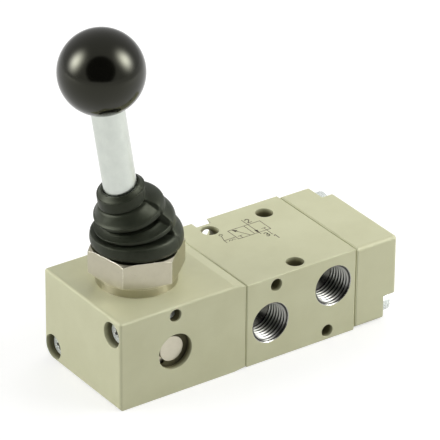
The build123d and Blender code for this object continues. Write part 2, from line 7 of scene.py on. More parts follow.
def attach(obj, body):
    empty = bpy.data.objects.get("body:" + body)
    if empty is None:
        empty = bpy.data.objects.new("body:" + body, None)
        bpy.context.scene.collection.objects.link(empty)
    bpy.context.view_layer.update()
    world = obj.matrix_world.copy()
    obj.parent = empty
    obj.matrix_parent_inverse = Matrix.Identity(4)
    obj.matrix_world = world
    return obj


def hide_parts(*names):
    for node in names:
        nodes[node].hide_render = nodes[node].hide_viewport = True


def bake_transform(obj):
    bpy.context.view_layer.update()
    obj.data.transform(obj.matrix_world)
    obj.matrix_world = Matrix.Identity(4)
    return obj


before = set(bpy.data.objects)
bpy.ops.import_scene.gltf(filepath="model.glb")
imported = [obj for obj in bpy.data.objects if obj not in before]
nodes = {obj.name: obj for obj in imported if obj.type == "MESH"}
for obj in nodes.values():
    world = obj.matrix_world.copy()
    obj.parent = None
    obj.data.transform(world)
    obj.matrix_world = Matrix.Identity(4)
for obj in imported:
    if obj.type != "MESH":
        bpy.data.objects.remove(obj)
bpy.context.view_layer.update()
MM = 0.001

# Places repeated from the CAD source, in millimetres
BODY_END_X = 20.9
BODY_TOP = 28.8
FRONT_Y = -21.0
SPOOL_Z = 14.4
LEVER_X = -47.0
PIVOT_Z = 26.9
LEAN = math.radians(9.1)
ROD_RADIUS = 5.15
SCREW_Y = 16.25
UPPER_SCREW_Z = 24.35
LOWER_SCREW_Z = 4.45
OPERATOR_SEAT_X = -61.1
OPERATOR_END_X = -66.9
COVER_SEAT_X = 31.7
GASKET_THICKNESS = 0.4
TOP_HOLES = [(0, -16.75), (-10.35, 14.0), (10.35, 14.0)]
CROSS_HOLES = [(-9.85, 25.65), (9.85, 3.15)]
PORTS = [(-11.82, FRONT_Y, 13.1, -1), (11.82, FRONT_Y, 18.6, -1), (0.0, -FRONT_Y, SPOOL_Z, 1)]


def new_material(name):
    mat = bpy.data.materials.new(name)
    mat.use_nodes = True
    tree = mat.node_tree
    return mat, tree, tree.nodes["Principled BSDF"]


def add_node(tree, kind, **inputs):
    node = tree.nodes.new(kind)
    for key, value in inputs.items():
        node.inputs[key.replace("_", " ")].default_value = value
    return node


def noise(tree, scale, detail=3.0, rough=0.5, stretch=(1, 1, 1)):
    """Noise in object space; scale counts features per millimetre."""
    coord = tree.nodes.new("ShaderNodeTexCoord")
    mapping = tree.nodes.new("ShaderNodeMapping")
    mapping.inputs["Scale"].default_value = tuple(1000 * s for s in stretch)
    tree.links.new(coord.outputs["Object"], mapping.inputs["Vector"])
    node = add_node(tree, "ShaderNodeTexNoise", Scale=scale, Detail=detail, Roughness=rough)
    tree.links.new(mapping.outputs["Vector"], node.inputs["Vector"])
    return node.outputs["Fac"]


def math_node(tree, operation, a, b=None, c=None):
    node = tree.nodes.new("ShaderNodeMath")
    node.operation = operation
    for index, value in enumerate((a, b, c)):
        if value is None:
            continue
        if isinstance(value, (int, float)):
            node.inputs[index].default_value = value
        else:
            tree.links.new(value, node.inputs[index])
    return node.outputs[0]


def remap(tree, value, low, high, to_low, to_high):
    node = tree.nodes.new("ShaderNodeMapRange")
    for key, number in zip(("From Min", "From Max", "To Min", "To Max"), (low, high, to_low, to_high)):
        node.inputs[key].default_value = number
    tree.links.new(value, node.inputs["Value"])
    return node.outputs["Result"]


def mix_colour(tree, factor, a, b):
    node = tree.nodes.new("ShaderNodeMix")
    node.data_type = "RGBA"
    for socket, value in ((node.inputs[0], factor), (node.inputs[6], a), (node.inputs[7], b)):
        if isinstance(value, (tuple, list)):
            socket.default_value = (*value, 1)
        elif isinstance(value, float):
            socket.default_value = value
        else:
            tree.links.new(value, socket)
    return node.outputs[2]


def bump(tree, shader, height, distance, strength=1.0, edge=0.0):
    """Bump of a height in object space; edge is the radius of softened edges in millimetres."""
    node = add_node(tree, "ShaderNodeBump", Strength=strength, Distance=distance * MM)
    tree.links.new(height, node.inputs["Height"])
    if edge:
        bevel = add_node(tree, "ShaderNodeBevel", Radius=edge * MM)
        bevel.samples = 4
        tree.links.new(bevel.outputs["Normal"], node.inputs["Normal"])
    tree.links.new(node.outputs["Normal"], shader.inputs["Normal"])


def edge_highlight_share(tree, radius, softest, sharpest, most_share):
    """Share of painted edge highlight: how far the rounded normal turns from the face's own."""
    bevel = add_node(tree, "ShaderNodeBevel", Radius=radius * MM)
    bevel.samples = 6
    flat = tree.nodes.new("ShaderNodeNewGeometry")
    turn = tree.nodes.new("ShaderNodeVectorMath")
    turn.operation = "DOT_PRODUCT"
    tree.links.new(bevel.outputs["Normal"], turn.inputs[0])
    tree.links.new(flat.outputs["True Normal"], turn.inputs[1])
    return remap(tree, turn.outputs["Value"], softest, sharpest, 0.0, most_share)


def plain_metal(
    name, colour, dark, rough, scratch=(1, 1, 1), scale=2.0, edge=0.1, depth=0.006, metallic=1.0, edge_highlight_colour=None
):
    """Metal with mottled tone, uneven roughness and fine marks; the optional edge colour is a painted
    highlight on its edges.
    """
    mat, tree, shader = new_material(name)
    cloud = noise(tree, 0.35, 4.0, 0.6)
    marks = noise(tree, scale, 5.0, 0.65, scratch)
    shader.inputs["Metallic"].default_value = metallic
    tone = remap(tree, cloud, 0.35, 0.7, 0.0, 1.0)
    base = mix_colour(tree, tone, dark, colour)
    # Painted highlight on the edges
    if edge_highlight_colour:
        base = mix_colour(tree, edge_highlight_share(tree, 0.35, 0.985, 0.90, 0.8), base, edge_highlight_colour)
    tree.links.new(base, shader.inputs["Base Color"])
    tree.links.new(remap(tree, marks, 0.3, 0.7, rough - 0.03, rough + 0.05), shader.inputs["Roughness"])
    bump(tree, shader, marks, depth, 1.0, edge)
    return mat


PAINT = (0.585, 0.585, 0.385)
PAINT_WORN = (0.555, 0.553, 0.357)
PAINT_FLECK_AND_HIGHLIGHT = (0.70, 0.70, 0.50)
# Bare metal at a port's mouth, and the same darkened at its floor as painted shade
BARE = (0.42, 0.42, 0.39)
BARE_PAINTED_SHADE = (0.11, 0.11, 0.095)
# Painted shade inside the bores, a darker paint
BORE_PAINTED_SHADE = (0.14, 0.13, 0.065)

# Radii of the masks, a little over the holes' own; depths over which the painted shade sets in inside the
# bores, and reach from the middle past which a port's bare metal shows
TOP_HOLE_MASK = 2.98
CROSS_HOLE_MASK = 2.2
PLUG_HOLE_MASK = 6.4
SCREW_HOLE_MASK = 4.25
PORT_MASK = 6.83
BORE_SHADE = (0.1, 1.6)
PORT_SIDE_REACH = (3.0, 3.1)
THROUGH_DEPTH = 41.5


def round_mask(tree, across, along, radius, depth):
    """1 inside a hole; across is two coordinates with their middles, and along runs in from its mouth."""
    squares = [math_node(tree, "POWER", math_node(tree, "SUBTRACT", c, m * MM), 2.0) for c, m in across]
    inside = math_node(tree, "LESS_THAN", math_node(tree, "ADD", *squares), (radius * MM) ** 2)
    sunk = remap(tree, along, depth[0] * MM, depth[1] * MM, 0.0, 1.0)
    within = math_node(tree, "LESS_THAN", along, THROUGH_DEPTH * MM)
    return math_node(tree, "MULTIPLY", math_node(tree, "MULTIPLY", inside, sunk), within)


def most(tree, masks):
    """Largest of the masks at each point."""
    total = masks[0]
    for mask in masks[1:]:
        total = math_node(tree, "MAXIMUM", total, mask)
    return total


def paint_material(name, ports=(), bores=()):
    """Baked paint: orange peel, faint clouding, pale flecks, a painted highlight on its edges, painted
    shade in the bores, and bare metal in the ports with painted shade further in.

    Each bore is its way in, the two coordinates of its axis and its radius; each port is x, y, z and side.
    """
    mat, tree, shader = new_material(name)
    cloud = noise(tree, 0.09, 3.0, 0.55)
    fleck = noise(tree, 5.5, 2.0, 0.5)
    peel = noise(tree, 1.6, 3.0, 0.55)
    base = mix_colour(tree, remap(tree, cloud, 0.35, 0.65, 0.0, 1.0), PAINT_WORN, PAINT)
    base = mix_colour(tree, remap(tree, fleck, 0.62, 0.75, 0.0, 0.25), base, PAINT_FLECK_AND_HIGHLIGHT)
    # Painted highlight on the rounded edges, lighter paint there
    base = mix_colour(tree, edge_highlight_share(tree, 0.5, 0.99, 0.90, 0.6), base, PAINT_FLECK_AND_HIGHLIGHT)
    rough = remap(tree, peel, 0.3, 0.7, 0.40, 0.52)
    coord = tree.nodes.new("ShaderNodeTexCoord")
    split = tree.nodes.new("ShaderNodeSeparateXYZ")
    tree.links.new(coord.outputs["Object"], split.inputs[0])
    place_x, place_y, place_z = (split.outputs[key] for key in "XYZ")
    ways = {
        "down": ((place_x, place_y), math_node(tree, "SUBTRACT", BODY_TOP * MM, place_z)),
        "rearward": ((place_x, place_z), math_node(tree, "SUBTRACT", place_y, FRONT_Y * MM)),
        "rightward": ((place_y, place_z), math_node(tree, "SUBTRACT", place_x, OPERATOR_END_X * MM)),
    }
    # Painted shade inside the bores, darker past their mouths
    dark = []
    for way, a, b, radius in bores:
        across, along = ways[way]
        dark.append(round_mask(tree, ((across[0], a), (across[1], b)), along, radius, BORE_SHADE))
    if dark:
        base = mix_colour(tree, most(tree, dark), base, BORE_PAINTED_SHADE)
    if ports:
        masks = []
        for x, y, z, side in ports:
            outward = math_node(tree, "MULTIPLY", place_y, float(side))
            masks.append(round_mask(tree, ((place_x, x), (place_z, z)), outward, PORT_MASK, PORT_SIDE_REACH))
        mask = most(tree, masks)
        reach = math_node(tree, "ABSOLUTE", place_y)
        # Painted shade: the bare metal darkens further into the port
        metal = mix_colour(tree, remap(tree, reach, 20.5 * MM, 14.0 * MM, 0.0, 1.0), BARE, BARE_PAINTED_SHADE)
        base = mix_colour(tree, mask, base, metal)
        rough = math_node(tree, "SUBTRACT", rough, math_node(tree, "MULTIPLY", mask, 0.22))
        tree.links.new(mask, shader.inputs["Metallic"])
    tree.links.new(base, shader.inputs["Base Color"])
    tree.links.new(rough, shader.inputs["Roughness"])
    bump(tree, shader, peel, 0.012, 0.5, 0.25)
    return mat


def rubber_material():
    mat, tree, shader = new_material("black_rubber")
    cloud = noise(tree, 0.25, 4.0, 0.6)
    grain = noise(tree, 6.0, 3.0, 0.6)
    tone = remap(tree, cloud, 0.35, 0.7, 0.0, 1.0)
    base = mix_colour(tree, tone, (0.0125, 0.0148, 0.0092), (0.021, 0.0245, 0.0165))
    tree.links.new(base, shader.inputs["Base Color"])
    tree.links.new(remap(tree, grain, 0.3, 0.7, 0.40, 0.52), shader.inputs["Roughness"])
    shader.inputs["Specular IOR Level"].default_value = 0.27
    shader.inputs["Specular Tint"].default_value = (0.95, 1.0, 0.78, 1)
    bump(tree, shader, grain, 0.010, 0.7)
    return mat


def knob_material():
    mat, tree, shader = new_material("black_knob")
    cloud = noise(tree, 0.2, 3.0, 0.5)
    base = mix_colour(tree, cloud, (0.0025, 0.0026, 0.0018), (0.0055, 0.0053, 0.004))
    tree.links.new(base, shader.inputs["Base Color"])
    swirl = noise(tree, 3.0, 5.0, 0.7)
    tree.links.new(remap(tree, swirl, 0.3, 0.75, 0.10, 0.17), shader.inputs["Roughness"])
    shader.inputs["IOR"].default_value = 1.46
    shader.inputs["Specular Tint"].default_value = (1.0, 1.0, 0.8, 1)
    bump(tree, shader, swirl, 0.002, 0.6)
    return mat


def matte_plastic(name, dark, light, rough):
    mat, tree, shader = new_material(name)
    grain = noise(tree, 3.0, 3.0, 0.6)
    tree.links.new(mix_colour(tree, grain, dark, light), shader.inputs["Base Color"])
    tree.links.new(remap(tree, grain, 0.3, 0.7, rough - 0.06, rough + 0.06), shader.inputs["Roughness"])
    bump(tree, shader, grain, 0.008, 0.6)
    return mat


# Radii between which a thread's tone turns from the painted shade of its root to its bright crest
SHADED_ROOT = 6.32
BRIGHT_CREST = 5.94


def thread_material(name, x, z):
    """Cut aluminium round a port's axis: bright crests, painted shade in the roots, and painted light
    making it paler down the port.
    """
    mat, tree, shader = new_material(name)
    marks = noise(tree, 1.0, 4.0, 0.6, (1, 5, 1))
    coord = tree.nodes.new("ShaderNodeTexCoord")
    split = tree.nodes.new("ShaderNodeSeparateXYZ")
    tree.links.new(coord.outputs["Object"], split.inputs[0])
    reach = math_node(tree, "ABSOLUTE", split.outputs["Y"])
    # Painted light: paler further into the port
    deep = remap(tree, reach, 20.6 * MM, 13.5 * MM, 0.0, 1.0)
    across = ((split.outputs["X"], x), (split.outputs["Z"], z))
    squares = [math_node(tree, "POWER", math_node(tree, "SUBTRACT", c, m * MM), 2.0) for c, m in across]
    radius = math_node(tree, "SQRT", math_node(tree, "ADD", *squares))
    # Painted shade in the thread roots
    crest = remap(tree, radius, SHADED_ROOT * MM, BRIGHT_CREST * MM, 0.0, 1.0)
    tone = mix_colour(tree, remap(tree, marks, 0.3, 0.7, 0.0, 1.0), (0.38, 0.38, 0.36), (0.47, 0.47, 0.45))
    tone = mix_colour(tree, deep, tone, (0.66, 0.66, 0.60))
    tree.links.new(mix_colour(tree, crest, (0.04, 0.04, 0.035), tone), shader.inputs["Base Color"])
    shader.inputs["Metallic"].default_value = 1.0
    tree.links.new(remap(tree, marks, 0.3, 0.7, 0.30, 0.40), shader.inputs["Roughness"])
    bump(tree, shader, marks, 0.002)
    return mat


paint = paint_material(
    "beige_paint",
    bores=[
        ("rearward", LEVER_X, PIVOT_Z, CROSS_HOLE_MASK),
        ("rearward", LEVER_X, SPOOL_Z, PLUG_HOLE_MASK),
        ("rightward", -SCREW_Y, UPPER_SCREW_Z, SCREW_HOLE_MASK),
        ("rightward", SCREW_Y, LOWER_SCREW_Z, SCREW_HOLE_MASK),
    ],
)
cover_paint = paint_material("beige_paint_cover")
paint_ports = paint_material(
    "beige_paint_bare_ports",
    PORTS,
    [("down", x, y, TOP_HOLE_MASK) for x, y in TOP_HOLES]
    + [("rearward", x, z, CROSS_HOLE_MASK) for x, z in CROSS_HOLES],
)
rubber = rubber_material()
knob_black = knob_material()
# Nickel with a painted highlight on its edges
nickel = plain_metal(
    "satin_nickel", (0.505, 0.475, 0.365), (0.475, 0.445, 0.34), 0.30, (1, 1, 3.5), 0.7, 0.12, 0.001,
    edge_highlight_colour=(0.86, 0.83, 0.70),
)
plug_nickel = plain_metal("bright_nickel", (0.62, 0.585, 0.475), (0.57, 0.535, 0.43), 0.34)
zinc = plain_metal(
    "zinc_plate", (0.65, 0.685, 0.63), (0.605, 0.64, 0.59), 0.30, (3.0, 3.0, 0.2), 1.6, 0.12, 0.005
)
screw_zinc = plain_metal(
    "zinc_screw", (0.80, 0.84, 0.81), (0.72, 0.76, 0.73), 0.26, edge=0.0, depth=0.003, metallic=0.4
)
steel = plain_metal("bright_steel", (0.66, 0.66, 0.65), (0.55, 0.55, 0.54), 0.28)
dark_steel = plain_metal("black_steel", (0.11, 0.10, 0.06), (0.07, 0.065, 0.038), 0.5)
brass = plain_metal("turned_brass", (0.80, 0.60, 0.28), (0.68, 0.49, 0.21), 0.28, (1, 1, 4))
aluminium = plain_metal("ground_aluminium", (0.82, 0.82, 0.82), (0.72, 0.72, 0.72), 0.24, (1, 5, 5))
cover_seal = matte_plastic("beige_gasket", (0.585, 0.585, 0.39), (0.64, 0.64, 0.44), 0.6)
spacer = matte_plastic("black_spacer", (0.02, 0.02, 0.021), (0.04, 0.04, 0.041), 0.5)
# Painted shade for the walls and floor of the screws' cross recesses
recess_painted_shade = plain_metal("screw_recess_painted_shade", (0.27, 0.275, 0.255), (0.19, 0.195, 0.18), 0.45, edge=0.0)
ink = matte_plastic("grey_ink", (0.075, 0.060, 0.045), (0.115, 0.092, 0.07), 0.6)

FINISH = {
    "valve_body": paint_ports,
    "operator_housing": paint,
    "end_cover": cover_paint,
    "operator_gasket": rubber,
    "cover_gasket": cover_seal,
    "hex_collar": nickel,
    "collar_seal": rubber,
    "rubber_boot": rubber,
    "pivot_pin": steel,
    "lever_hub": steel,
    "lever_rod": zinc,
    "ball_knob": knob_black,
    "knob_insert": brass,
    "drive_shuttle": steel,
    "spool": aluminium,
    "spool_seals": rubber,
    "spacer_cages": spacer,
    "end_spacers": spacer,
    "detent_plug": plug_nickel,
    "retaining_ring": dark_steel,
    "detent_ball": steel,
    "detent_spring": steel,
    "operator_screws": screw_zinc,
    "cover_screws": screw_zinc,
}
for name, mat in FINISH.items():
    mesh = nodes[name].data
    if not mesh.materials:
        mesh.materials.append(mat)
    for index in range(len(mesh.materials)):
        mesh.materials[index] = mat


def make_piece(name, points, faces, material, smooth=True, sharp=None):
    """Mesh object from points in millimetres."""
    mesh = bpy.data.meshes.new(name)
    mesh.from_pydata([tuple(c * MM for c in p) for p in points], [], faces)
    mesh.validate()
    mesh.materials.append(material)
    if smooth:
        mesh.polygons.foreach_set("use_smooth", [True] * len(mesh.polygons))
    if sharp:
        mesh.set_sharp_from_angle(angle=math.radians(sharp))
    mesh.update()
    obj = bpy.data.objects.new(name, mesh)
    bpy.context.scene.collection.objects.link(obj)
    return obj


def rings_to_faces(ring_count, per_ring, closed=True):
    """Quads between rings of points that go round; closed also joins the last ring to the first."""
    faces = []
    for i in range(ring_count if closed else ring_count - 1):
        low = i * per_ring
        high = (i + 1) % ring_count * per_ring
        for j in range(per_ring):
            k = (j + 1) % per_ring
            faces.append((low + j, low + k, high + k, high + j))
    return faces


def catmull_rom(a, b, c, d, t):
    return 0.5 * (2 * b + (c - a) * t + (2 * a - 5 * b + 4 * c - d) * t**2 + (3 * b - a - 3 * c + d) * t**3)


def curve_through(points, steps):
    """Points of a Catmull-Rom curve through the given (height, radius) pairs."""
    path = []
    for i in range(len(points) - 1):
        near = [points[max(i - 1, 0)], points[i], points[i + 1], points[min(i + 2, len(points) - 1)]]
        for step in range(steps):
            path.append(tuple(catmull_rom(*values, step / steps) for values in zip(*near)))
    path.append(points[-1])
    return path


# Rubber boot: skirts lie on each other on the leaning side and open out on the other side
COLLAR_BASE = 32.7
BOOT_SHOULDER = 19.8
BOOT_TURN = math.radians(17.5)
BOOT_FOLDED = [
    (15.5, 12.9), (16.1, 13.8), (17.4, 14.25), (19.0, 14.2), (20.2, 13.9), (20.75, 13.45), (20.9, 12.7),
    (20.85, 11.2), (20.8, 9.7), (21.05, 9.25), (21.45, 9.6), (21.8, 10.9), (22.05, 11.85), (22.3, 12.25),
    (23.35, 12.3), (23.6, 12.0), (23.85, 11.3), (24.4, 10.2), (24.95, 9.3), (24.6, 8.2), (24.9, 6.9),
    (26.7, 6.8), (27.0, 8.6), (27.1, 10.2), (27.35, 10.7), (28.5, 10.85), (28.8, 10.6), (29.3, 10.0),
    (30.7, 8.85), (31.75, 7.9), (32.1, 6.95), (32.5, 7.35), (33.0, 7.5), (35.9, 7.5), (36.1, 7.25),
    (36.7, 6.6), (37.4, 6.01),
]
BOOT_OPEN = [
    (15.5, 12.9), (16.1, 13.8), (17.4, 14.25), (19.0, 14.25), (20.2, 13.95), (21.0, 13.3), (21.5, 12.75),
    (21.75, 12.45), (21.95, 12.35), (22.1, 12.35), (22.3, 12.4), (22.6, 12.5), (22.9, 12.6), (23.3, 12.7),
    (24.0, 12.75), (24.7, 12.6), (25.4, 12.2), (26.1, 11.6), (26.6, 11.15), (26.9, 10.95), (27.1, 10.9),
    (27.3, 10.95), (27.6, 11.05), (27.95, 11.15), (28.5, 11.2), (29.3, 11.15), (30.1, 10.8), (30.8, 10.2),
    (31.5, 9.3), (32.1, 8.2), (32.45, 7.6), (32.8, 7.3), (34.6, 7.35), (35.9, 7.45), (36.1, 7.25),
    (36.7, 6.6), (37.4, 6.01),
]
BOOT_INNER = [
    (37.3, 5.4), (36.0, 5.36), (33.0, 5.36), (32.0, 6.2), (30.2, 8.6), (28.4, 8.9), (27.5, 7.4),
    (26.8, 6.0), (24.9, 6.0), (23.7, 7.4), (22.9, 9.4), (22.2, 10.0), (21.0, 8.7), (20.2, 10.6),
    (19.0, 11.5), (17.2, 11.4), (16.9, 10.4), (15.6, 10.25),
]
BOOT_SEGMENTS = 180
SEAM_TURN = math.radians(-60)
SEAM_BLEND = math.radians(4)
SEAM_WIDTH = math.radians(1.2)
SEAM_GROOVE = 0.22
SKIN_OVER_ROD = 0.85
INSIDE_OVER_ROD = 0.2


def lean_share(height):
    """How far the boot leans at a height: 0 at its shoulder, 1 at its collar."""
    return min(max((height - BOOT_SHOULDER) / (COLLAR_BASE - BOOT_SHOULDER), 0), 1)


def boot_point(height, radius, turn):
    """Point of the boot at rest; its rings lean further than the rod."""
    share = lean_share(height)
    place = LEAN * share
    tilt = BOOT_TURN * math.sin(math.pi / 2 * share**0.75)
    centre = Vector((LEVER_X - math.sin(place) * height, 0, PIVOT_Z + math.cos(place) * height))
    along = Vector((math.cos(tilt), 0, math.sin(tilt)))
    return centre + radius * (math.cos(turn) * along + math.sin(turn) * Vector((0, 1, 0)))


def rod_reach(height, turn):
    """Distance from the boot's middle to the rod's surface, which leans more than the folds do."""
    off = height * (math.sin(LEAN) - math.sin(LEAN * lean_share(height)))
    return -off * math.cos(turn) + math.sqrt(max(ROD_RADIUS**2 - (off * math.sin(turn)) ** 2, 0))


def smooth_step(value):
    value = min(max(value, 0), 1)
    return value * value * (3 - 2 * value)


def skin_radius(height, radius, turn):
    """Radius of the boot's skin with slight waves in its folds and the seam's groove, clear of the rod."""
    if radius > 7.6 and height > 21:
        radius += 0.05 * math.sin(3 * turn + height) + 0.04 * math.sin(7 * turn - 2 * height)
    seam = math.exp(-(((turn - SEAM_TURN) / SEAM_WIDTH) ** 2))
    radius -= SEAM_GROOVE * seam * (1 if height > 19 else 0.4)
    return max(radius, rod_reach(height, turn) + SKIN_OVER_ROD)


def build_boot():
    folded = curve_through(BOOT_FOLDED, 4)
    opened = curve_through(BOOT_OPEN, 4)
    inner = curve_through(BOOT_INNER, 2)
    turns = [2 * math.pi * j / BOOT_SEGMENTS - math.pi for j in range(BOOT_SEGMENTS)]
    points = []
    for (h_fold, r_fold), (h_open, r_open) in zip(folded, opened):
        for turn in turns:
            # The open side runs from the seam round by +X to the matching seam behind
            off_seam = abs(turn) - abs(SEAM_TURN)
            share = smooth_step(0.5 - off_seam / SEAM_BLEND)
            height = h_fold + (h_open - h_fold) * share
            radius = r_fold + (r_open - r_fold) * share
            points.append(boot_point(height, skin_radius(height, radius, turn), turn))
    for height, radius in inner:
        for turn in turns:
            clear = max(radius, rod_reach(height, turn) + INSIDE_OVER_ROD)
            points.append(boot_point(height, clear, turn))
    faces = rings_to_faces(len(folded) + len(inner), BOOT_SEGMENTS)
    boot = make_piece("boot_skirts", points, faces, rubber)
    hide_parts("rubber_boot")
    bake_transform(boot)


# Pipe threads in the ports: sleeves with a helical thread inside and a countersink at the mouth
THREAD_PITCH = 1.337
THREAD_ROOT = 6.54
THREAD_CREST = 5.74
THREAD_START = 0.2
THREAD_END = 8.85
SLEEVE_RADIUS = 6.57
THREAD_STEPS = 12
THREAD_SEGMENTS = 72


def thread_surface(depth, turn):
    """Radius of the rounded thread at a depth and a step round the port, countersunk at the mouth."""
    phase = (depth - THREAD_START) / THREAD_PITCH - (turn % THREAD_SEGMENTS) / THREAD_SEGMENTS
    wave = abs(2 * (phase % 1.0) - 1)
    radius = THREAD_CREST + (THREAD_ROOT - THREAD_CREST) * smooth_step((wave - 0.1) / 0.8)
    return max(radius, THREAD_ROOT - (depth - THREAD_START))


def build_thread(name, x, y, z, side):
    """Threaded sleeve in a port whose mouth is at y; side is -1 on the front and +1 on the rear."""
    step = THREAD_PITCH / THREAD_STEPS
    rows = int((THREAD_END - THREAD_START) / step) + 2 * THREAD_STEPS + 2
    points, faces, index = [], [], {}

    def vertex(depth, radius, turn):
        key = (round(depth, 4), round(radius, 4), turn % THREAD_SEGMENTS)
        if key not in index:
            angle = 2 * math.pi * turn / THREAD_SEGMENTS
            across, up = radius * math.cos(angle), radius * math.sin(angle)
            index[key] = len(points)
            points.append((x - side * across, y - side * depth, z + up))
        return index[key]

    def on_helix(row, turn):
        """Point of a row that climbs one pitch per turn, held between the sleeve's two ends."""
        if turn == THREAD_SEGMENTS:
            row, turn = row + THREAD_STEPS, 0
        depth = THREAD_START + (row - THREAD_STEPS) * step + THREAD_PITCH * turn / THREAD_SEGMENTS
        depth = min(max(depth, THREAD_START), THREAD_END)
        return vertex(depth, thread_surface(depth, turn), turn)

    for turn in range(THREAD_SEGMENTS):
        for row in range(rows):
            low = (on_helix(row, turn), on_helix(row, turn + 1))
            high = (on_helix(row + 1, turn + 1), on_helix(row + 1, turn))
            ring = tuple(dict.fromkeys(low + high))
            if len(ring) > 2:
                faces.append(ring)
        for depth in (THREAD_START, THREAD_END):
            inner = [vertex(depth, thread_surface(depth, t), t) for t in (turn, turn + 1)]
            outer = [vertex(depth, SLEEVE_RADIUS, t) for t in (turn + 1, turn)]
            ring = (*inner, *outer)
            faces.append(ring if depth == THREAD_START else ring[::-1])
        near = [vertex(THREAD_START, SLEEVE_RADIUS, t) for t in (turn, turn + 1)]
        far = [vertex(THREAD_END, SLEEVE_RADIUS, t) for t in (turn + 1, turn)]
        faces.append((*near, *far))
    piece = make_piece(name, points, faces, thread_material(name, x, z))
    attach(piece, "valve")


# Screws: cheese heads with a cross recess, and a threaded end
HEAD_RADIUS = 3.5
HEAD_HEIGHT = 3.6
HEAD_ROUND = 0.5
HEAD_ROUND_STEPS = 5
HEAD_FLAT = 2.6
SHANK_RADIUS = 2.0
SHANK_EASE = 0.02
TIP_CHAMFER = 0.45
SCREW_PITCH = 0.7
SCREW_THREAD_DEPTH = 0.36
RINGS_PER_PITCH = 6
THREADED_LENGTH = 9.0
SCREW_SEGMENTS = 96
RECESS_REACH = 1.75
RECESS_ARM = 0.42
RECESS_CORE = 0.8
# Scale of the recess's outline and its depth, from its mouth down
RECESS_STEPS = [(1.06, 0.0), (1.0, 0.05), (0.86, 0.9), (0.7, 1.5)]
RECESS_FLOOR = [(0.45, 1.75), (0.05, 1.95)]


def cross_outline(angle):
    """Radius of the cross recess at an angle, with arms along two lines."""
    c, s = abs(math.cos(angle)), abs(math.sin(angle))
    arm = min(RECESS_REACH, max(RECESS_ARM / max(s, 1e-6), RECESS_ARM / max(c, 1e-6)))
    return max(arm, RECESS_CORE)


def screw_rings(length, turns):
    """Rings of (radius, height) from a screw's tip to its recess's floor, and the recess's first ring."""
    rings = []

    def circle(radius, height):
        rings.append([(radius, height)] * SCREW_SEGMENTS)

    tip = -length
    thread_top = tip + THREADED_LENGTH
    shank = SHANK_RADIUS - SHANK_EASE
    circle(0.05, tip)
    circle(SHANK_RADIUS - TIP_CHAMFER, tip)
    height = tip + SCREW_PITCH / 2
    while height < thread_top:
        row = []
        for j in range(SCREW_SEGMENTS):
            wave = abs(2 * ((height / SCREW_PITCH - j / SCREW_SEGMENTS) % 1.0) - 1)
            row.append((shank - SCREW_THREAD_DEPTH * (1 - wave), height))
        rings.append(row)
        height += SCREW_PITCH / RINGS_PER_PITCH
    circle(shank, thread_top + 0.1)
    circle(shank, -0.05)
    circle(SHANK_RADIUS + SHANK_EASE, 0.0)
    circle(HEAD_RADIUS - 0.15, 0.0)
    circle(HEAD_RADIUS, 0.15)
    circle(HEAD_RADIUS, HEAD_HEIGHT - HEAD_ROUND)
    for step in range(1, HEAD_ROUND_STEPS + 1):
        angle = math.pi / 2 * step / HEAD_ROUND_STEPS
        inward, down = HEAD_ROUND * (1 - math.cos(angle)), HEAD_ROUND * (1 - math.sin(angle))
        circle(HEAD_RADIUS - inward, HEAD_HEIGHT - down)
    circle(HEAD_FLAT, HEAD_HEIGHT)
    first_recess = len(rings)
    for grow, drop in RECESS_STEPS:
        rings.append([(cross_outline(t) * grow, HEAD_HEIGHT - drop) for t in turns])
    for radius, drop in RECESS_FLOOR:
        circle(radius, HEAD_HEIGHT - drop)
    return rings, first_recess


def build_screw(name, node, seat, outward, length, spin):
    """Screw with its seat at a point; outward is the direction its head faces along X."""
    turns = [2 * math.pi * j / SCREW_SEGMENTS for j in range(SCREW_SEGMENTS)]
    rings, first_recess = screw_rings(length, turns)
    points = []
    for row in rings:
        for (radius, height), turn in zip(row, turns):
            y = seat[1] + radius * math.cos(turn + spin) * outward
            points.append((seat[0] + outward * height, y, seat[2] + radius * math.sin(turn + spin)))
    faces = rings_to_faces(len(rings), SCREW_SEGMENTS, closed=False)
    last = (len(rings) - 1) * SCREW_SEGMENTS
    faces.append(tuple(range(SCREW_SEGMENTS))[::-1])
    faces.append(tuple(last + j for j in range(SCREW_SEGMENTS)))
    piece = make_piece(name, points, faces, screw_zinc, sharp=38)
    # The recess's walls and floor carry painted shade, a darker zinc; face number last is the cap on the
    # tip
    piece.data.materials.append(recess_painted_shade)
    walls = (first_recess + 1) * SCREW_SEGMENTS
    for polygon in piece.data.polygons:
        if polygon.index >= walls and polygon.index != last:
            polygon.material_index = 1
    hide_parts(node)
    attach(piece, "valve")


# Gasket bead at the joint of body and cover
BEAD_INSET = 0.34
BEAD_CORNER = 1.3
BEAD_WIDTH = 0.65
BEAD_ROUND = 0.08
BEAD_STEPS = 9


def build_bead():
    """Bead round the joint with its outer edge rounded over."""
    half_y = -FRONT_Y - BEAD_INSET - BEAD_CORNER
    half_z = BODY_TOP / 2 - BEAD_INSET - BEAD_CORNER
    section = [(0.0, -BEAD_WIDTH), (0.0, -BEAD_ROUND), (BEAD_ROUND, 0.0)]
    section += [(GASKET_THICKNESS - along, out) for along, out in reversed(section)]
    points = []
    for along, out in section:
        for quarter, (side_y, side_z) in enumerate(((1, 1), (-1, 1), (-1, -1), (1, -1))):
            for part in range(BEAD_STEPS):
                angle = math.pi / 2 * (quarter + part / (BEAD_STEPS - 1))
                y = side_y * half_y + (BEAD_CORNER + out) * math.cos(angle)
                z = BODY_TOP / 2 + side_z * half_z + (BEAD_CORNER + out) * math.sin(angle)
                points.append((BODY_END_X + along, y, z))
    faces = rings_to_faces(len(section), 4 * BEAD_STEPS)
    piece = make_piece("cover_joint_bead", points, faces, cover_seal, sharp=50)
    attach(piece, "valve")


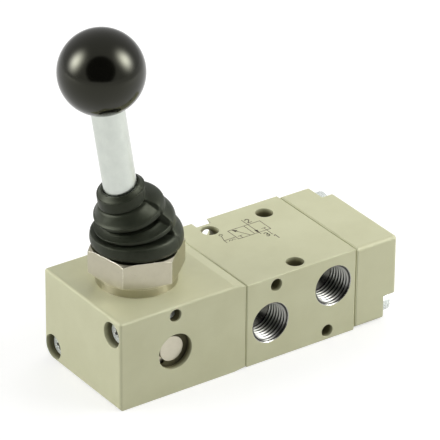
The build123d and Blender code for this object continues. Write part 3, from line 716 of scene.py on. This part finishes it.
build_bead()
build_boot()
for name, port in zip(("thread_front_left", "thread_front_right", "thread_rear"), PORTS):
    build_thread(name, *port)
# Name, node, seat, way the head faces, length under the head, and turn of the recess
SCREWS = [
    ("operator_screw_front", "operator_screws", (OPERATOR_SEAT_X, -SCREW_Y, UPPER_SCREW_Z), -1, 46.7, 0.62),
    ("operator_screw_rear", "operator_screws", (OPERATOR_SEAT_X, SCREW_Y, LOWER_SCREW_Z), -1, 46.7, 0.25),
    ("cover_screw_front", "cover_screws", (COVER_SEAT_X, -SCREW_Y, LOWER_SCREW_Z), 1, 17.3, 0.4),
    ("cover_screw_rear", "cover_screws", (COVER_SEAT_X, SCREW_Y, UPPER_SCREW_Z), 1, 17.3, 1.0),
]
for entry in SCREWS:
    build_screw(*entry)


# Printed valve symbol and port numbers on the top of the body
PRINT_THICK = 0.03
PRINT_SINK = 0.02
BOX_FACES = [(3, 2, 1, 0), (4, 5, 6, 7), (0, 1, 5, 4), (1, 2, 6, 5), (2, 3, 7, 6), (3, 0, 4, 7)]


def build_print(name, strokes, width):
    """Flat strokes of ink on the top face; each stroke is a list of (x, y) points."""
    points, faces = [], []
    for stroke in strokes:
        for (x0, y0), (x1, y1) in zip(stroke, stroke[1:]):
            run = Vector((x1 - x0, y1 - y0))
            if run.length < 1e-6:
                continue
            run.normalize()
            side = Vector((-run.y, run.x)) * width / 2
            a, b = Vector((x0, y0)) - run * width / 2, Vector((x1, y1)) + run * width / 2
            corners = [a - side, b - side, b + side, a + side]
            base = len(points)
            for z in (BODY_TOP - PRINT_SINK, BODY_TOP + PRINT_THICK):
                points.extend((c.x, c.y, z) for c in corners)
            faces.extend(tuple(base + i for i in quad) for quad in BOX_FACES)
    piece = make_piece(name, points, faces, ink, smooth=False)
    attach(piece, "valve")


def arc(cx, cy, radius, start, end, steps=10):
    return [
        (
            cx + radius * math.cos(math.radians(start + (end - start) * i / steps)),
            cy + radius * math.sin(math.radians(start + (end - start) * i / steps)),
        )
        for i in range(steps + 1)
    ]


def moved(strokes, x, y):
    return [[(x + px, y + py) for px, py in stroke] for stroke in strokes]


ONE = [[(-0.45, 0.7), (0.1, 1.1), (0.1, -1.1)]]
TWO = [arc(0, 0.5, 0.6, 165, -35, 10) + [(-0.65, -1.1), (0.7, -1.1)]]
THREE = [arc(0, 0.52, 0.55, 150, -90, 10), arc(0, -0.52, 0.6, 90, -150, 10)]
# Sides of the symbol's two boxes
LEFT, MIDDLE, RIGHT, LOW, HIGH = -6.0, 0.05, 6.1, 4.5, 10.5
symbol = [
    [(LEFT, LOW), (RIGHT, LOW), (RIGHT, HIGH), (LEFT, HIGH), (LEFT, LOW)],
    [(MIDDLE, LOW), (MIDDLE, HIGH)],
    [(1.6, HIGH), (1.6, 13.9)],
    [(1.6, HIGH - 0.1), (1.6, LOW + 0.1)],
    [(1.6, LOW), (1.6, 3.4)],
    [(4.5, LOW), (4.5, 1.2)],
    [(4.5, LOW + 0.1), (4.5, 6.0)],
    [(3.8, 6.0), (5.2, 6.0)],
    [(-4.5, HIGH - 0.1), (-1.5, LOW + 0.1)],
    [(-5.2, 6.0), (-3.8, 6.0)],
    [(-4.5, LOW + 0.1), (-4.5, 6.0)],
    [(LEFT, 6.1), (-10.4, 6.1)],
    [(-10.4, 4.6), (-10.4, 6.1), (-9.5, 9.0)],
    arc(-9.3, 9.6, 0.55, 0, 360, 12),
    [(-6.9, 4.9), (-7.5, 5.5), (-8.1, 4.9), (-8.7, 5.5), (-9.3, 4.9)],
]
arrows = [
    [(1.6, LOW + 0.2), (1.25, LOW + 1.5), (1.95, LOW + 1.5), (1.6, LOW + 0.2)],
    [(1.6, LOW + 0.5), (1.6, LOW + 1.4)],
    [(-4.45, HIGH - 0.25), (-4.2, HIGH - 1.6), (-3.45, HIGH - 1.2), (-4.45, HIGH - 0.25)],
    [(-4.3, HIGH - 0.6), (-3.9, HIGH - 1.3)],
]
build_print("symbol_lines", symbol, 0.20)
build_print("symbol_arrows", arrows, 0.30)
build_print("port_numbers", moved(TWO, 3.0, 12.5) + moved(THREE, 2.9, 2.1) + moved(ONE, 4.8, -0.6), 0.27)


# Camera of the photograph, with its focal length in pixels of the 440-pixel frame
AZIMUTH, ELEVATION, ROLL = (math.radians(v) for v in (-35.081, 28.609, -0.539))
FOCAL_PIXELS = 3785.5
FRAME_PIXELS = 440
SENSOR_WIDTH = 36.0
CAMERA_PLACE = Vector((-600.18, -831.28, 594.72)) * MM
BACK = Vector(
    (
        math.sin(AZIMUTH) * math.cos(ELEVATION),
        -math.cos(AZIMUTH) * math.cos(ELEVATION),
        math.sin(ELEVATION),
    )
)
LEVEL_RIGHT = Vector((math.cos(AZIMUTH), math.sin(AZIMUTH), 0))
LEVEL_UP = BACK.cross(LEVEL_RIGHT)
RIGHT_AXIS = math.cos(ROLL) * LEVEL_RIGHT - math.sin(ROLL) * LEVEL_UP
UP_AXIS = math.sin(ROLL) * LEVEL_RIGHT + math.cos(ROLL) * LEVEL_UP

camera_data = bpy.data.cameras.new("photo_camera")
camera_data.sensor_width = SENSOR_WIDTH
camera_data.lens = FOCAL_PIXELS / FRAME_PIXELS * SENSOR_WIDTH
camera_data.clip_start, camera_data.clip_end = 0.01, 20.0
camera = bpy.data.objects.new("photo_camera", camera_data)
bpy.context.scene.collection.objects.link(camera)
camera.matrix_world = Matrix.Translation(CAMERA_PLACE) @ Matrix(
    (
        (RIGHT_AXIS.x, UP_AXIS.x, BACK.x, 0),
        (RIGHT_AXIS.y, UP_AXIS.y, BACK.y, 0),
        (RIGHT_AXIS.z, UP_AXIS.z, BACK.z, 0),
        (0, 0, 0, 1),
    )
)
bpy.context.scene.camera = camera


STUDIO_MIDDLE = Vector((-0.02, 0, 0.03))


def softbox(name, direction, distance, width, height, level):
    """Area lamp that gives a white surface facing it the given level."""
    data = bpy.data.lights.new(name, "AREA")
    data.shape = "RECTANGLE"
    data.size, data.size_y = width, height
    data.energy = level * math.pi**2 * distance**2
    lamp = bpy.data.objects.new(name, data)
    bpy.context.scene.collection.objects.link(lamp)
    aim = Vector(direction).normalized()
    lamp.location = STUDIO_MIDDLE + aim * distance
    lamp.rotation_mode = "QUATERNION"
    lamp.rotation_quaternion = aim.to_track_quat("Z", "Y")
    lamp.visible_glossy = False


# Directions in which reflections see the two softboxes
LEFT_BOX = (-0.784, 0.428, 0.447)
RIGHT_BOX = (0.6575, -0.5497, 0.514)
softbox("softbox_left", (-0.87, 0.40, 0.27), 0.8, 0.50, 0.60, 0.54)
softbox("softbox_right", RIGHT_BOX, 0.5, 0.35, 0.40, 0.55)
softbox("softbox_rear", (0.58, 0.52, 0.63), 0.42, 0.30, 0.30, 0.26)

# Floor: white to the camera and to reflections, with the object's shadow kept
FLOOR_COLOUR = (0.55, 0.55, 0.545, 1)
FLOOR_GLOW = 0.56
FLOOR_MIRRORED = 0.52
FLOOR_REACH = 6.0
FLOOR_Z = -0.0001
floor_mat, tree, shader = new_material("pale_floor")
tree.nodes.remove(shader)
output = tree.nodes["Material Output"]
diffuse = add_node(tree, "ShaderNodeBsdfDiffuse", Color=FLOOR_COLOUR)
glow = add_node(tree, "ShaderNodeEmission", Color=(1, 1, 1, 1))
rays = tree.nodes.new("ShaderNodeLightPath")
seen = math_node(tree, "MAXIMUM", rays.outputs["Is Camera Ray"], rays.outputs["Is Transmission Ray"])
seen = math_node(tree, "MULTIPLY", seen, FLOOR_GLOW)
mirrored = math_node(tree, "MULTIPLY", rays.outputs["Is Glossy Ray"], FLOOR_MIRRORED)
tree.links.new(math_node(tree, "ADD", seen, mirrored), glow.inputs["Strength"])
both = tree.nodes.new("ShaderNodeAddShader")
tree.links.new(diffuse.outputs[0], both.inputs[0])
tree.links.new(glow.outputs[0], both.inputs[1])
tree.links.new(both.outputs[0], output.inputs["Surface"])
floor_mesh = bpy.data.meshes.new("studio_floor")
floor_mesh.from_pydata(
    [(x * FLOOR_REACH, y * FLOOR_REACH, FLOOR_Z) for x, y in ((-1, -1), (1, -1), (1, 1), (-1, 1))],
    [],
    [(0, 1, 2, 3)],
)
floor_mesh.materials.append(floor_mat)
floor = bpy.data.objects.new("studio_floor", floor_mesh)
bpy.context.scene.collection.objects.link(floor)

# World: even light, white to the camera; reflections see a tent with two softboxes and a dark opening
WORLD_LEVEL = 0.50
TENT_LEVEL = 0.62
OPENING_LEVEL = 0.02
OPENING_EDGE = (42, 35)
BOX_LIFTS = (-0.15, 0.0, 0.2)
BOX_SHARPNESS = 34.0
BOX_LEVEL = 7.5
world = bpy.data.worlds.new("tent")
bpy.context.scene.world = world
world.use_nodes = True
tree = world.node_tree
background = tree.nodes["Background"]
coord = tree.nodes.new("ShaderNodeTexCoord")


def towards(direction):
    """Cosine of the angle between a ray and a direction."""
    node = tree.nodes.new("ShaderNodeVectorMath")
    node.operation = "DOT_PRODUCT"
    node.inputs[1].default_value = tuple(Vector(direction).normalized())
    tree.links.new(coord.outputs["Generated"], node.inputs[0])
    return math_node(tree, "MAXIMUM", node.outputs["Value"], 0.0)


outer, inner = (math.cos(math.radians(angle)) for angle in OPENING_EDGE)
tent = remap(tree, towards(BACK), outer, inner, TENT_LEVEL, OPENING_LEVEL)
for box in (LEFT_BOX, RIGHT_BOX):
    for lift in BOX_LIFTS:
        lobe = math_node(tree, "POWER", towards(Vector(box) + Vector((0, 0, lift))), BOX_SHARPNESS)
        tent = math_node(tree, "ADD", tent, math_node(tree, "MULTIPLY", lobe, BOX_LEVEL))
rays = tree.nodes.new("ShaderNodeLightPath")
level = math_node(tree, "MULTIPLY", rays.outputs["Is Glossy Ray"], tent)
plain = math_node(tree, "SUBTRACT", 1.0, rays.outputs["Is Glossy Ray"])
level = math_node(tree, "ADD", level, math_node(tree, "MULTIPLY", plain, WORLD_LEVEL))
level = math_node(tree, "MAXIMUM", level, rays.outputs["Is Camera Ray"])
tree.links.new(level, background.inputs["Strength"])
background.inputs["Color"].default_value = (1, 1, 1, 1)

bpy.context.scene.view_settings.view_transform = "Standard"
